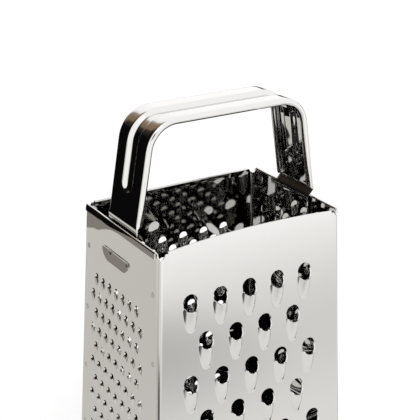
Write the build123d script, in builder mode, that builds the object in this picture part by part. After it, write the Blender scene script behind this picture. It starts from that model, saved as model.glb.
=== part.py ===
"""Four-sided box grater of stainless sheet, with a stamped strap handle.

The body is four tapered plates. The front and back plates turn round the four corners
and carry a flange inside each side plate, where spot welds close the seams. The handle is
one strip with rolled edges and a pressed channel. Its feet step inwards over the rim and
are spot welded to the insides of the two narrow plates.

Frame: +Z up, the origin on the floor under the middle of the body, the coarse plate
towards -Y, the fine plate towards -X. Sizes are in millimetres.
"""

import os
from math import atan, cos, hypot, sin

from build123d import *

os.makedirs("parts", exist_ok=True)

# Sheet and body
sheet = 0.5
body_height = 175.0
top_width = 94.0
top_depth = 67.5
base_width = 108.8
base_depth = 83.2
cut_overrun = 1.0

# Corners: bend, lapped flange, the cut edge of the side plate and the reliefs at the rim
corner_bend = 1.5
flange_width = 8.0
seam_gap = 0.3
bend_relief = 3.2
side_relief = 2.2

# Hems folded over at the rim and at the base
hem_gap = 0.4
hem_height = 3.0
front_hem_end = 4.4
side_hem_end = 2.4
front_crown = 2.1
base_flat = 0.2

# Coarse scoops on the front; the pattern fans out and leans a little, as in the photograph
coarse_rows = 7
coarse_most = 5
coarse_first_row = 25.0
coarse_row_pitch = 19.35
coarse_pitch = 15.05
coarse_fan = 0.0017
coarse_shift = -2.6
coarse_lean = 0.65
coarse_half_width = 3.85
coarse_lip_height = 2.8
coarse_tail = 13.1
coarse_hole_radius = 3.6
coarse_hole_side = 2.1
coarse_lip_sag = 2.1

# Medium scoops on the back
medium_rows = 22
medium_most = 6
medium_first_row = 29.4
medium_row_pitch = 5.7
medium_pitch = 11.9
medium_half_width = 2.6
medium_lip_height = 1.7
medium_tail = 5.4
medium_hole_radius = 2.3
medium_hole_side = 0.7
medium_lip_sag = 1.1

# Fine scoops on the left, set a little towards the back; the first row is a short one
fine_rows = 15
fine_most = 8
fine_first_row = 32.1
fine_row_pitch = 8.9
fine_pitch = 6.27
fine_fan = 0.0012
fine_shift = -2.5
fine_lean = 0.08
fine_half_width = 1.5
fine_lip_height = 1.1
fine_tail = 4.4
fine_hole_radius = 1.35
fine_hole_side = 0.6
fine_lip_sag = 0.8

# Slicing slots on the right
slice_rows = 4
slice_first_row = 44.2
slice_row_pitch = 28.5
slice_half_width = 25.0
slice_gap = 2.3
slice_sag = 4.0
slice_lip_height = 2.3
slice_tail = 11.5

# Handle strip, set a little to the right of the middle
handle_sheet = 0.7
handle_width = 26.0
handle_rise = 49.0
handle_corner = 39.8
handle_shift = 1.5
handle_bend = 15.0
bead_radius = 1.6
curl_opening = 1.1
channel_width = 9.0
channel_depth = 1.8
channel_end = 19.0
foot_reach = 47.4
foot_rise = 2.6
step_height = 3.6
tab_gap = 0.7
tab_length = 22.0

# Spot welds
handle_weld_radius = 1.75
handle_weld_half_pitch = 7.7
handle_weld_set_back = 1.5
handle_weld_drop = 15.6
seam_weld_radius = 1.4
seam_weld_from_corner = 5.0
seam_weld_count = 5
seam_weld_first = 20.0
seam_weld_pitch = 32.0
weld_dish = 0.12

# Sizes that follow from these
side_spread = (base_width - top_width) / 2
face_spread = (base_depth - top_depth) / 2
side_cosine = body_height / hypot(body_height, side_spread)
fold_radius = sheet + hem_gap / 2


def width_at(height):
    """Outside width of the body, left to right, at a height."""
    return base_width + (top_width - base_width) * height / body_height


def depth_at(height):
    """Outside depth of the body, front to back, at a height."""
    return base_depth + (top_depth - base_depth) * height / body_height


def wall_plane(out_x, out_y):
    """Plane on the outside of a wall: origin mid-rim, y up the wall, z out of it."""
    half = top_width / 2 if out_x else top_depth / 2
    spread = side_spread if out_x else face_spread
    return Plane(
        origin=(out_x * half, out_y * half, body_height),
        x_dir=(-out_y, out_x, 0),
        z_dir=(out_x * body_height, out_y * body_height, spread),
    )


def base_plane(wall):
    """The same wall from its base: y points down, and a fold dips base_flat below the floor."""
    slant = hypot(body_height, side_spread if wall.z_dir.X else face_spread)
    return Plane(
        origin=wall.from_local_coords(Vector(0, -slant - base_flat, 0)),
        x_dir=-wall.x_dir,
        z_dir=wall.z_dir,
    )


def inside_of(planes):
    """What is left of the body's block behind every one of the planes."""
    with BuildPart() as block:
        with BuildSketch(Plane.XY.offset(-cut_overrun)):
            Rectangle(
                max(base_width, top_width) + 2 * cut_overrun,
                max(base_depth, top_depth) + 2 * cut_overrun,
            )
        extrude(amount=body_height + 2 * cut_overrun)
        for plane in planes:
            split(bisect_by=plane, keep=Keep.BOTTOM)
    return block.part


def fold_lines(wall):
    """Planes across a wall where its rim hem and its base hem begin to curl."""
    return [
        Plane(origin=plane.from_local_coords(Vector(0, -fold_radius, 0)), z_dir=plane.y_dir)
        for plane in (wall, base_plane(wall))
    ]


def bent_block(wall, sides, others, radius):
    """A block behind a wall and its neighbours, its two corners rounded to a radius."""

    def at_corner(edge):
        middle = wall.to_local_coords(edge.center())
        return abs(middle.Z) < sheet / 2 and abs(middle.X) > top_width / 4

    with BuildPart() as block:
        add(inside_of([wall, *sides, *others]))
        fillet(block.edges().filter_by(at_corner), radius=radius)
    return block.part


def channel_plate(wall, sides):
    """Front or back plate: a wall with a flange round each corner, inside the side walls."""
    lap = Plane(origin=wall.offset(-flange_width).origin, z_dir=-wall.z_dir)
    outer_sides = [side.offset(-sheet) for side in sides]
    inner_sides = [side.offset(-2 * sheet) for side in sides]
    with BuildPart() as plate:
        add(bent_block(wall, outer_sides, [lap, *fold_lines(wall)], corner_bend))
        add(
            bent_block(wall.offset(-sheet), inner_sides, [], corner_bend - sheet),
            mode=Mode.SUBTRACT,
        )
    return plate.part


def side_plate(wall, neighbours):
    """Left or right plate: a flat sheet laid over the flanges, clear of the bends."""
    behind = Plane(origin=wall.offset(-sheet).origin, z_dir=-wall.z_dir)
    edges = [neighbour.offset(-corner_bend - seam_gap) for neighbour in neighbours]
    return inside_of([wall, behind, *edges, *fold_lines(wall)])


def hem(plane, half_length, crown, outward):
    """A hem along a wall's top edge, folded out of the wall or into the body.

    The flat wall ends one fold radius below the plane's origin. A crown lifts the middle
    of the edge, and the wall is filled in up to it.
    """
    fold_centre = hem_gap / 2 if outward else -sheet - hem_gap / 2
    leaf_base = hem_gap if outward else -hem_gap - 2 * sheet
    leaves = [leaf_base, -sheet] if crown else [leaf_base]
    edge = -fold_radius
    ends = [(-half_length, edge), (half_length, edge)]
    with BuildPart() as folded:
        with BuildLine(plane.offset(fold_centre)) as edge_line:
            if crown:
                ThreePointArc(ends[0], (0, edge + crown), ends[1])
            else:
                Line(*ends)
        section_plane = Plane(
            origin=edge_line.line @ 0, x_dir=plane.z_dir, z_dir=edge_line.line % 0
        )
        turn = 1 if section_plane.y_dir.dot(plane.y_dir) > 0 else -1
        with BuildSketch(section_plane):
            Circle(fold_radius)
            Circle(fold_radius - sheet, mode=Mode.SUBTRACT)
            with Locations((0, -turn * fold_radius)):
                Rectangle(2 * fold_radius, 2 * fold_radius, mode=Mode.SUBTRACT)
        sweep(path=edge_line.line)
        for level in leaves:
            with BuildSketch(plane.offset(level)):
                with BuildLine():
                    if crown:
                        top = ThreePointArc(ends[0], (0, edge + crown), ends[1])
                    else:
                        top = Line(*ends)
                    Polyline(
                        top @ 1, (half_length, -hem_height), (-half_length, -hem_height), top @ 0
                    )
                make_face()
            extrude(amount=sheet)
    return folded.part


def cowl_and_hollow(half_width, lip_height, tail, mouth_drop):
    """A scoop's raised cowl as a solid, and the hollow below its sheet.

    The cowl is a cylinder that leans out of the sheet, so its ridge falls from the lip to
    nothing over the tail.
    """
    lean = atan(lip_height / tail)
    arch_radius = (half_width**2 + lip_height**2) / (2 * lip_height)
    reach = hypot(tail, lip_height) + arch_radius
    axis_plane = Plane(
        origin=(0, -mouth_drop, lip_height - arch_radius / cos(lean)),
        x_dir=(1, 0, 0),
        z_dir=(0, -cos(lean), -sin(lean)),
    )
    solids = []
    for radius, floor in ((arch_radius, -sheet / 2), (arch_radius - sheet, -sheet - cut_overrun)):
        with BuildPart() as cylinder:
            with BuildSketch(axis_plane):
                Circle(radius)
            extrude(amount=reach, both=True)
            with BuildSketch(Plane.XY.offset(floor)):
                with Locations((0, -mouth_drop)):
                    Rectangle(2 * half_width + sheet, reach, align=(Align.CENTER, Align.MAX))
            extrude(amount=lip_height - floor + cut_overrun, mode=Mode.INTERSECT)
        solids.append(cylinder.part)
    return solids


def scoop(half_width, lip_height, tail, hole_radius, hole_side, lip_sag):
    """A scoop with its mouth facing up: a solid cowl, and its hollow with the punched hole."""
    cowl, hollow = cowl_and_hollow(half_width, lip_height, tail, hole_side)
    with BuildPart() as punch:
        with BuildSketch(Plane.XY.offset(-sheet - cut_overrun)):
            with BuildLine():
                crest = CenterArc((0, 0), hole_radius, 0, 180)
                lip = ThreePointArc(
                    (-hole_radius, -hole_side), (0, -hole_side - lip_sag), (hole_radius, -hole_side)
                )
                Line(crest @ 1, lip @ 0)
                Line(lip @ 1, crest @ 0)
            make_face()
        extrude(amount=sheet + lip_height + 2 * cut_overrun)
    return cowl, hollow + punch.part


def slicing_slot():
    """A wide slicing slot: a cowl and its opening, the slot curved and lowest mid-way."""
    cowl, hollow = cowl_and_hollow(slice_half_width, slice_lip_height, slice_tail, sheet)
    with BuildPart() as punch:
        with BuildSketch(Plane.XY.offset(-sheet - cut_overrun)):
            with BuildLine():
                lower = ThreePointArc(
                    (-slice_half_width, -sheet), (0, -sheet - slice_sag), (slice_half_width, -sheet)
                )
                upper = ThreePointArc(
                    lower @ 0, (0, slice_gap - sheet - slice_sag), lower @ 1
                )
            make_face()
        extrude(amount=sheet + slice_lip_height + 2 * cut_overrun)
    return cowl, hollow + punch.part


def staggered(counts, first, row_pitch, pitch, fan=0.0, shift=0.0, lean=0.0):
    """Places on a wall plane, in two kinds of row that take turns; counts holds every row."""
    places = []
    for row, count in enumerate(counts):
        drop = row * row_pitch
        middle = shift + lean * row
        row_step = pitch * (1 + fan * drop)
        for place in range(count):
            places.append((middle + (place - (count - 1) / 2) * row_step, -first - drop))
    return places


def full_and_short(rows, most, short_first):
    """How many scoops each row holds: most, most - 1, most ... or the other way round."""
    return [most - (row + short_first) % 2 for row in range(rows)]


def corner_reliefs(radius):
    """Round notches at the rim's corners, where the fold of one hem meets the next."""
    with BuildPart() as notches:
        with Locations(*[
            (x * width_at(body_height) / 2, y * depth_at(body_height) / 2, body_height)
            for x in (-1, 1) for y in (-1, 1)
        ]):
            Sphere(radius)
    return notches.part


def weld_discs(plane, places, radius, dish, depth):
    """Weld nuggets: round discs through the sheet, their outer ends a little dished."""
    with BuildPart() as discs:
        with BuildSketch(plane.offset(-depth)):
            with Locations(*places):
                Circle(radius)
        extrude(amount=depth - dish)
    return discs.part


def seam_places(edge_sign):
    """Spot welds down one edge of a side plate, at a steady distance from the corner."""
    places = []
    for weld in range(seam_weld_count):
        drop = seam_weld_first + weld * seam_weld_pitch
        height = body_height - drop * side_cosine
        places.append((edge_sign * (depth_at(height) / 2 - seam_weld_from_corner), -drop))
    return places


front = wall_plane(0, -1)
back = wall_plane(0, 1)
left = wall_plane(-1, 0)
right = wall_plane(1, 0)
bend_reliefs = corner_reliefs(bend_relief)
side_reliefs = corner_reliefs(side_relief)
front_hem_half = top_width / 2 - front_hem_end
side_hem_half = top_depth / 2 - side_hem_end
front_base_half = base_width / 2 - front_hem_end
side_base_half = base_depth / 2 - side_hem_end

# Trims everything below the floor, so that the base hems end in flat lands
with BuildPart() as below_floor:
    with BuildSketch(Plane.XY.offset(-cut_overrun)):
        Rectangle(base_width + 2 * hem_height, base_depth + 2 * hem_height)
    extrude(amount=cut_overrun)

coarse = scoop(
    coarse_half_width, coarse_lip_height, coarse_tail,
    coarse_hole_radius, coarse_hole_side, coarse_lip_sag,
)
coarse_places = staggered(
    full_and_short(coarse_rows, coarse_most, False),
    coarse_first_row, coarse_row_pitch, coarse_pitch, coarse_fan, coarse_shift, coarse_lean,
)
medium = scoop(
    medium_half_width, medium_lip_height, medium_tail,
    medium_hole_radius, medium_hole_side, medium_lip_sag,
)
medium_places = staggered(
    full_and_short(medium_rows, medium_most, False),
    medium_first_row, medium_row_pitch, medium_pitch,
)
fine = scoop(
    fine_half_width, fine_lip_height, fine_tail, fine_hole_radius, fine_hole_side, fine_lip_sag
)
fine_places = staggered(
    full_and_short(fine_rows, fine_most, True),
    fine_first_row, fine_row_pitch, fine_pitch, fine_fan, fine_shift, fine_lean,
)
slices = slicing_slot()
slice_places = [(0, -slice_first_row - row * slice_row_pitch) for row in range(slice_rows)]


def press(wall, solids, places):
    """Raise the scoops out of the plate that is being built, and open them."""
    cowl, opening = solids
    with Locations(*[wall.location * Location((u, v, 0)) for u, v in places]):
        add(cowl)
        add(opening, mode=Mode.SUBTRACT)


# Front plate with the coarse scoops, its rim crowned and hemmed into the body
with BuildPart() as front_coarse_plate:
    add(channel_plate(front, (left, right)))
    add(hem(front, front_hem_half, front_crown, outward=False))
    add(hem(base_plane(front), front_base_half, 0, outward=False))
    press(front, coarse, coarse_places)
    add(bend_reliefs, mode=Mode.SUBTRACT)
    add(below_floor.part, mode=Mode.SUBTRACT)
front_coarse_plate.part.label = "front_coarse_plate"
export_step(front_coarse_plate.part, "parts/front_coarse_plate.step")

# Back plate with the medium scoops
with BuildPart() as back_medium_plate:
    add(channel_plate(back, (left, right)))
    add(hem(back, front_hem_half, 0, outward=False))
    add(hem(base_plane(back), front_base_half, 0, outward=False))
    press(back, medium, medium_places)
    add(bend_reliefs, mode=Mode.SUBTRACT)
    add(below_floor.part, mode=Mode.SUBTRACT)
back_medium_plate.part.label = "back_medium_plate"
export_step(back_medium_plate.part, "parts/back_medium_plate.step")

handle_weld_depth = (sheet + tab_gap) * side_cosine
seam_weld_depth = sheet * side_cosine


def weld_all(wall, dish):
    """All nuggets of one side plate: those of the handle's tab and of both seams."""
    middle = wall.x_dir.Y * handle_weld_set_back
    handle_weld_places = [
        (middle + s * handle_weld_half_pitch, -handle_weld_drop) for s in (-1, 1)
    ]
    return (
        weld_discs(wall, handle_weld_places, handle_weld_radius, dish, handle_weld_depth),
        weld_discs(wall, seam_places(-1), seam_weld_radius, dish, seam_weld_depth),
        weld_discs(wall, seam_places(1), seam_weld_radius, dish, seam_weld_depth),
    )


# Left plate with the fine scoops, hemmed outwards
with BuildPart() as left_fine_plate:
    add(side_plate(left, (front, back)))
    add(hem(left, side_hem_half, 0, outward=True))
    add(hem(base_plane(left), side_base_half, 0, outward=True))
    press(left, fine, fine_places)
    add(weld_all(left, -cut_overrun), mode=Mode.SUBTRACT)
    add(side_reliefs, mode=Mode.SUBTRACT)
    add(below_floor.part, mode=Mode.SUBTRACT)
left_fine_plate.part.label = "left_fine_plate"
export_step(left_fine_plate.part, "parts/left_fine_plate.step")

# Right plate with the slicing slots, hemmed outwards
with BuildPart() as right_slicing_plate:
    add(side_plate(right, (front, back)))
    add(hem(right, side_hem_half, 0, outward=True))
    add(hem(base_plane(right), side_base_half, 0, outward=True))
    press(right, slices, slice_places)
    add(weld_all(right, -cut_overrun), mode=Mode.SUBTRACT)
    add(side_reliefs, mode=Mode.SUBTRACT)
    add(below_floor.part, mode=Mode.SUBTRACT)
right_slicing_plate.part.label = "right_slicing_plate"
export_step(right_slicing_plate.part, "parts/right_slicing_plate.step")

# Handle strip: one bent strip with rolled edges, a pressed channel and stepped feet
handle_top = body_height + handle_rise
foot_top = body_height + foot_rise
foot_bottom = foot_top - step_height
tab_bottom = foot_bottom - tab_length
leg_slope = (foot_reach - handle_corner) / (handle_top - foot_top)


def leg_reach(height):
    """Distance of a leg's outer face from the handle's own middle at a height."""
    return handle_corner + leg_slope * (handle_top - height)


def tab_reach(height):
    """Distance of a tab's outer face from the body's middle: tab_gap inside the plate."""
    return width_at(height) / 2 - sheet - tab_gap


def strap_path(start_height):
    """The outer face's line, up one leg, over the bends and down the other leg."""
    reach = leg_reach(start_height)
    with BuildLine(Plane.XZ) as line:
        FilletPolyline(
            (handle_shift - reach, start_height), (handle_shift - handle_corner, handle_top),
            (handle_shift + handle_corner, handle_top), (handle_shift + reach, start_height),
            radius=handle_bend,
        )
    return line.line


def strap_plane(path, end):
    """Plane across the strap at one end of its path: x along Y, y out of the strap."""
    along = path % end
    return Plane(origin=path @ end, x_dir=(0, 1, 0), z_dir=along)


channel_radius = ((channel_width / 2) ** 2 + channel_depth**2) / (2 * channel_depth)
channel_centre = channel_radius - channel_depth


def channel_part(radius):
    """The pressed channel as a solid, its ends round, down to the strip's outer face."""
    path = strap_path(body_height + channel_end)
    above = (2 * radius, 2 * (radius + channel_centre))
    with BuildPart() as groove:
        with BuildSketch(strap_plane(path, 0)):
            with Locations((0, channel_centre)):
                Circle(radius)
            Rectangle(*above, align=(Align.CENTER, Align.MIN), mode=Mode.SUBTRACT)
        sweep(path=path)
        for end in (0, 1):
            plane = strap_plane(path, end)
            with BuildSketch(plane):
                with Locations((0, channel_centre)):
                    Circle(radius)
                Rectangle(*above, align=(Align.CENTER, Align.MIN), mode=Mode.SUBTRACT)
                Rectangle(*above, align=(Align.MAX, Align.CENTER), mode=Mode.SUBTRACT)
            revolve(axis=Axis(plane.origin, plane.y_dir))
    return groove.part


with BuildPart() as handle_strip:
    strap = strap_path(foot_top)
    bead_offset = handle_width / 2 - bead_radius
    with BuildSketch(strap_plane(strap, 0)):
        with Locations((0, -handle_sheet / 2)):
            Rectangle(2 * bead_offset, handle_sheet)
        with Locations((-bead_offset, -bead_radius), (bead_offset, -bead_radius)):
            Circle(bead_radius)
            Circle(bead_radius - handle_sheet, mode=Mode.SUBTRACT)
        for s in (-1, 1):
            with Locations((s * (bead_offset - bead_radius / 2), -bead_radius)):
                Rectangle(bead_radius, curl_opening, mode=Mode.SUBTRACT)
    sweep(path=strap)
    add(channel_part(channel_radius + handle_sheet))
    for s in (-1, 1):
        foot_line = [
            (handle_shift + s * leg_reach(foot_top), foot_top),
            (s * tab_reach(foot_bottom), foot_bottom),
            (s * tab_reach(tab_bottom), tab_bottom),
        ]
        inner_line = [(x - s * handle_sheet, z) for x, z in reversed(foot_line)]
        with BuildSketch(Plane.XZ):
            with BuildLine():
                Polyline(*foot_line, *inner_line, close=True)
            make_face()
        extrude(amount=handle_width / 2, both=True)
    add(channel_part(channel_radius), mode=Mode.SUBTRACT)
handle_strip.part.label = "handle_strip"
export_step(handle_strip.part, "parts/handle_strip.step")

# Spot welds: two through each side plate into the handle's tabs, and five down each seam
with BuildPart() as handle_spot_welds:
    for wall in (left, right):
        add(weld_all(wall, weld_dish)[0])
handle_spot_welds.part.label = "handle_spot_welds"
export_step(handle_spot_welds.part, "parts/handle_spot_welds.step")

seam_names = {
    "front_left_seam_welds": (left, 1),
    "back_left_seam_welds": (left, -1),
    "front_right_seam_welds": (right, -1),
    "back_right_seam_welds": (right, 1),
}
for name, (wall, edge_sign) in seam_names.items():
    with BuildPart() as seam_welds:
        add(weld_discs(wall, seam_places(edge_sign), seam_weld_radius, weld_dish, seam_weld_depth))
    seam_welds.part.label = name
    export_step(seam_welds.part, f"parts/{name}.step")
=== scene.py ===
# %% [markdown]
# # A stainless box grater
# This file dresses the finished solid model of a four-sided kitchen grater: four tapered
# plates of bright steel sheet, a strip handle across the open top, and the spot welds that
# hold them together. The steel is nearly a mirror, so most of the work is in smooth, true
# surfaces with soft bends, because every small slope shows as a light or a dark patch.
# Sizes are in millimetres until a mesh is finished, and only then become metres. The stage
# and the camera are in metres from the start.

import math

import bmesh
import bpy
from mathutils import Matrix, Vector
from mathutils.geometry import delaunay_2d_cdt


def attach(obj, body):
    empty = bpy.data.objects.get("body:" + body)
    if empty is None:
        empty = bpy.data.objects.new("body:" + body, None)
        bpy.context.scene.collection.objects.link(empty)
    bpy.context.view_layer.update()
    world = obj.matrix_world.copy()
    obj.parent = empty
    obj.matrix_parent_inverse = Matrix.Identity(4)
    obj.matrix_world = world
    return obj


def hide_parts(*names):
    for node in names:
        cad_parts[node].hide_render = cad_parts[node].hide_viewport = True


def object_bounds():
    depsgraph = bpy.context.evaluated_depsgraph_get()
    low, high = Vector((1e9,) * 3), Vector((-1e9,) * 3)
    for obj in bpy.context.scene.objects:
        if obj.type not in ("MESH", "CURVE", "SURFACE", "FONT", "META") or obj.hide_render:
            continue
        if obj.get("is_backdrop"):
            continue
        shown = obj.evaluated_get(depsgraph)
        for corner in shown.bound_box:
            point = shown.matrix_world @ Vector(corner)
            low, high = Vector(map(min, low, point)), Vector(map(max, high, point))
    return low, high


MM = 0.001
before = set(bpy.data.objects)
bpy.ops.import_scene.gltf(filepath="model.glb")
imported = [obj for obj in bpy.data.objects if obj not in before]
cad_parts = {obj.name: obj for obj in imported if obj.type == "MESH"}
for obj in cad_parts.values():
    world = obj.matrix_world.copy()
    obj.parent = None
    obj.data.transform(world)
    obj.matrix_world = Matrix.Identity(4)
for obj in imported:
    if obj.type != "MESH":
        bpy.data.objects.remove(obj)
cad_low, cad_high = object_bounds()
print("CAD box in mm:", [round(v / MM, 1) for v in (*cad_low, *cad_high)])

# %% [markdown]
# ## The sizes of the sheet body
# The body is a truncated pyramid that stands on its wide end. Front and back plates turn
# round the corners and lie inside the side plates, where they are spot welded. Rims and
# bases are hemmed: the cut edge is folded flat, so that it can't cut a hand.

# %% Sizes in millimetres
SHEET = 0.5
HEIGHT = 175.0
TOP = (94.0, 67.5)
BASE = (108.8, 83.2)
BEND = 1.5
FLANGE = 8.0
SEAM_GAP = 0.3
HEM_GAP = 0.4
HEM_HEIGHT = 3.0
FRONT_HEM_END = 4.4
SIDE_HEM_END = 2.4
CROWN = 2.1
BASE_FLAT = 0.2
FOLD = SHEET + HEM_GAP / 2
LEAF_SPRING = 0.25
NOTCH = 3.2


def spaced(start, end, count):
    """Numbers from start to end in count even steps."""
    return [start + (end - start) * i / count for i in range(count + 1)]


def both_sides(half, count):
    """Numbers from -half to half in count even steps."""
    return [half * (2 * i / count - 1) for i in range(count + 1)]


def half_at(axis, z):
    """Half the body's width (axis 0) or depth (axis 1), outside, at a height."""
    return (BASE[axis] + (TOP[axis] - BASE[axis]) * z / HEIGHT) / 2


class Wall:
    """One side of the body as a flat plane: u across, v up from the rim, w out of it."""

    def __init__(self, out_x, out_y):
        axis = 0 if out_x else 1
        spread = (BASE[axis] - TOP[axis]) / 2
        self.out = (out_x, out_y)
        self.across = 1 - axis
        self.slant = math.hypot(HEIGHT, spread)
        self.rise = HEIGHT / self.slant
        w = Vector((out_x * HEIGHT, out_y * HEIGHT, spread)).normalized()
        u = Vector((-out_y, out_x, 0))
        v = w.cross(u)
        origin = Vector((out_x * TOP[0] / 2, out_y * TOP[1] / 2, HEIGHT))
        self.matrix = Matrix.Translation(origin) @ Matrix((u, v, w)).transposed().to_4x4()

    def z(self, v):
        return HEIGHT + v * self.rise


front, back, left, right = Wall(0, -1), Wall(0, 1), Wall(-1, 0), Wall(1, 0)
print("wall slant in mm:", round(front.slant, 2), "and", round(left.slant, 2))

# %% [markdown]
# ## Materials
# Kitchen graters are pressed from bright annealed stainless strip. It leaves the mill almost
# as a mirror, with a slightly warm grey colour. The rolls leave a faint grain along the strip
# and pressing leaves long shallow waves, and both only show in the reflections. So colour is
# one value, and the pattern goes into roughness and a very low bump.

# %% Colours, nodes and objects
def linear(hex_code):
    """An sRGB hex colour as the linear values that a shader socket takes."""
    channels = [int(hex_code[i:i + 2], 16) / 255 for i in (1, 3, 5)]
    return [c / 12.92 if c <= 0.04045 else ((c + 0.055) / 1.055) ** 2.4 for c in channels] + [1.0]


def add_node(tree, kind, inputs=None, **settings):
    """A new node with its settings; an input takes a value, or a socket to link from."""
    node = tree.nodes.new(kind)
    for name, value in settings.items():
        setattr(node, name, value)
    for key, value in (inputs or {}).items():
        if isinstance(value, bpy.types.NodeSocket):
            tree.links.new(value, node.inputs[key])
        else:
            node.inputs[key].default_value = value
    return node


def math_node(tree, operation, a, b):
    """One sum of a tree, on two sockets or numbers."""
    return add_node(tree, "ShaderNodeMath", {0: a, 1: b}, operation=operation).outputs[0]


def new_object(name, data):
    """A new object in the scene."""
    thing = bpy.data.objects.new(name, data)
    bpy.context.collection.objects.link(thing)
    return thing


def made_mesh(thing):
    """The plain mesh that an object's modifiers make."""
    bpy.context.view_layer.update()
    ready = thing.evaluated_get(bpy.context.evaluated_depsgraph_get())
    return bpy.data.meshes.new_from_object(ready)


def smooth_mesh(name, bm, material):
    """A finished bmesh as a smooth mesh with one material."""
    mesh = bpy.data.meshes.new(name)
    bm.to_mesh(mesh)
    bm.free()
    mesh.materials.clear()
    mesh.materials.append(material)
    for polygon in mesh.polygons:
        polygon.material_index = 0
        polygon.use_smooth = True
    return mesh


def new_material(name):
    material = bpy.data.materials.new(name)
    material.use_nodes = True
    material.node_tree.nodes.clear()
    return material, material.node_tree


# %% Bright annealed stainless steel
GRAIN_SIZE = 0.6
CLOUD_SIZE = 24.0


def steel(name, colour, smooth, rough, wave_height, wave_size, grain_along):
    """Mill-bright steel: waves and grain in the reflections only.

    Waves are wave_size mm apart and wave_height mm high. Roll grain is really a few
    hundredths of a millimetre wide, and is drawn GRAIN_SIZE wide so that it shows.
    """
    material, tree = new_material(name)
    place = add_node(tree, "ShaderNodeTexCoord").outputs["Object"]
    stretched = add_node(tree, "ShaderNodeMapping", {"Vector": place, "Scale": grain_along})
    grain = add_node(tree, "ShaderNodeTexNoise", {
        "Vector": stretched.outputs[0], "Scale": 1 / (GRAIN_SIZE * MM), "Detail": 2.0, "Roughness": 0.6,
    })
    cloud = add_node(tree, "ShaderNodeTexNoise", {
        "Vector": place, "Scale": 1 / (CLOUD_SIZE * MM), "Detail": 3.0,
    })
    mixed = math_node(tree, "MULTIPLY", grain.outputs[0], cloud.outputs[0])
    roughness = add_node(tree, "ShaderNodeMapRange", {
        "Value": mixed, "From Min": 0.12, "From Max": 0.4, "To Min": smooth, "To Max": rough,
    })
    waves = add_node(tree, "ShaderNodeTexNoise", {
        "Vector": place, "Scale": 1 / (wave_size * MM), "Detail": 1.5, "Roughness": 0.35,
    })
    bump = add_node(tree, "ShaderNodeBump", {
        "Height": waves.outputs[0], "Strength": 1.0, "Distance": wave_height * MM,
    })
    shader = add_node(tree, "ShaderNodeBsdfPrincipled", {
        "Base Color": linear(colour), "Metallic": 1.0,
        "Roughness": roughness.outputs[0], "Normal": bump.outputs[0],
    })
    add_node(tree, "ShaderNodeOutputMaterial", {"Surface": shader.outputs[0]})
    return material


plate_steel = steel("bright_annealed_stainless_sheet", "#CFCECC", 0.015, 0.04, 0.035, 26, (1, 1, 0.06))
strip_steel = steel("bright_stainless_strip", "#CFCECC", 0.01, 0.03, 0.10, 15, (0.06, 1, 0.06))
# A weld nugget is squeezed hot between copper tips, which leaves it duller and a little darker.
nugget_steel = steel("pressed_weld_steel", "#BDBAB5", 0.16, 0.30, 0.02, 3, (1, 1, 1))
print("materials:", [m.name for m in (plate_steel, strip_steel, nugget_steel)])

# %% [markdown]
# ## One scoop
# A grater's tooth is a slot whose lower edge is pushed out of the sheet into a small sharp
# scoop, with its mouth towards the handle, and the scoop falls away to nothing at its tail.
# A boolean cut would leave hard creases and ragged faces, which a mirror shows at once. So
# one tile is built from rings of faces: from the hole's edge, over the scoop's foot, to a
# flat rectangle, and the height of each point comes from one smooth hood with a soft foot.

# %% The height of a scoop and the rings of a tile
def soft_step(t):
    t = min(max(t, 0.0), 1.0)
    return t * t * (3 - 2 * t)


class Scoop:
    """Outlines and height of one kind of scoop, round the middle of its hole.

    The lip's ends lie side below the hole's round part, and its middle hangs sag lower. The
    hood sinks from there to its tail, first straight and then rounder.
    """

    straight_share = 0.6
    round_share = 0.4
    flank_power = 2.6
    most_margin = 0.25

    def __init__(self, half_width, lip, tail, radius, side, sag, soft):
        self.half_width, self.lip, self.tail = half_width, lip, tail
        self.radius, self.side, self.sag, self.soft = radius, side, sag, soft

    def sunk(self, down):
        """Share of the lip's height that is lost at a share of the way to the tail."""
        return self.straight_share * down + self.round_share * down**3

    def height(self, u, v):
        """Height over the sheet: a round hood that sinks to its tail, with a soft foot."""
        down = max(-self.side - v, 0.0) / self.tail
        hood = self.lip * (1 - self.sunk(down) - abs(u / self.half_width) ** self.flank_power)
        if hood <= -self.soft:
            return 0.0
        if hood < self.soft:
            hood = (hood + self.soft) ** 2 / (4 * self.soft)
        return hood * soft_step(-v / self.side)

    def foot(self, q):
        """The hood's foot line on the sheet, for q from -1 to 1 round its lower side."""
        spare = self.soft / self.lip
        end_slope = self.straight_share + 3 * self.round_share
        down = (1 + spare / end_slope) * math.cos(q * math.pi / 2) ** 0.8
        half = max(1 + spare - self.sunk(down), 0.0) ** (1 / self.flank_power)
        return math.copysign(half * self.half_width, q) if q else 0.0, -self.side - down * self.tail

    def outlines(self, lip_steps, arch_steps, box):
        """Hole, foot and tile outlines with matching points, anticlockwise from the left."""
        hole, foot, tile = [], [], []
        low_u, high_u, low_v, high_v = box
        corner = 1 - 2 * (lip_steps // 4) / lip_steps
        for q in both_sides(1, lip_steps):
            bow = math.sin(q * math.pi / 2)
            hole.append((self.radius * bow, -self.side - self.sag * (1 - bow * bow)))
            foot.append(self.foot(q))
            if abs(q) <= corner + 1e-6:
                tile.append(((low_u + high_u) / 2 + (high_u - low_u) / 2 * q / corner, low_v))
            else:
                share = (1 - abs(q)) / (1 - corner)
                tile.append((high_u if q > 0 else low_u, -self.side + (low_v + self.side) * share))
        grown = self.radius + min(self.soft, self.most_margin)
        for i in range(arch_steps + 1):
            turn = math.pi * i / arch_steps
            hole.append((self.radius * math.cos(turn), self.radius * math.sin(turn)))
            foot.append((grown * math.cos(turn), grown * math.sin(turn)))
            share = 4 * i / arch_steps
            if share <= 1:
                tile.append((high_u, high_v * share))
            elif share < 3:
                tile.append((high_u + (low_u - high_u) * (share - 1) / 2, high_v))
            else:
                tile.append((low_u, high_v * (4 - share)))
        return hole, foot, tile


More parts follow.
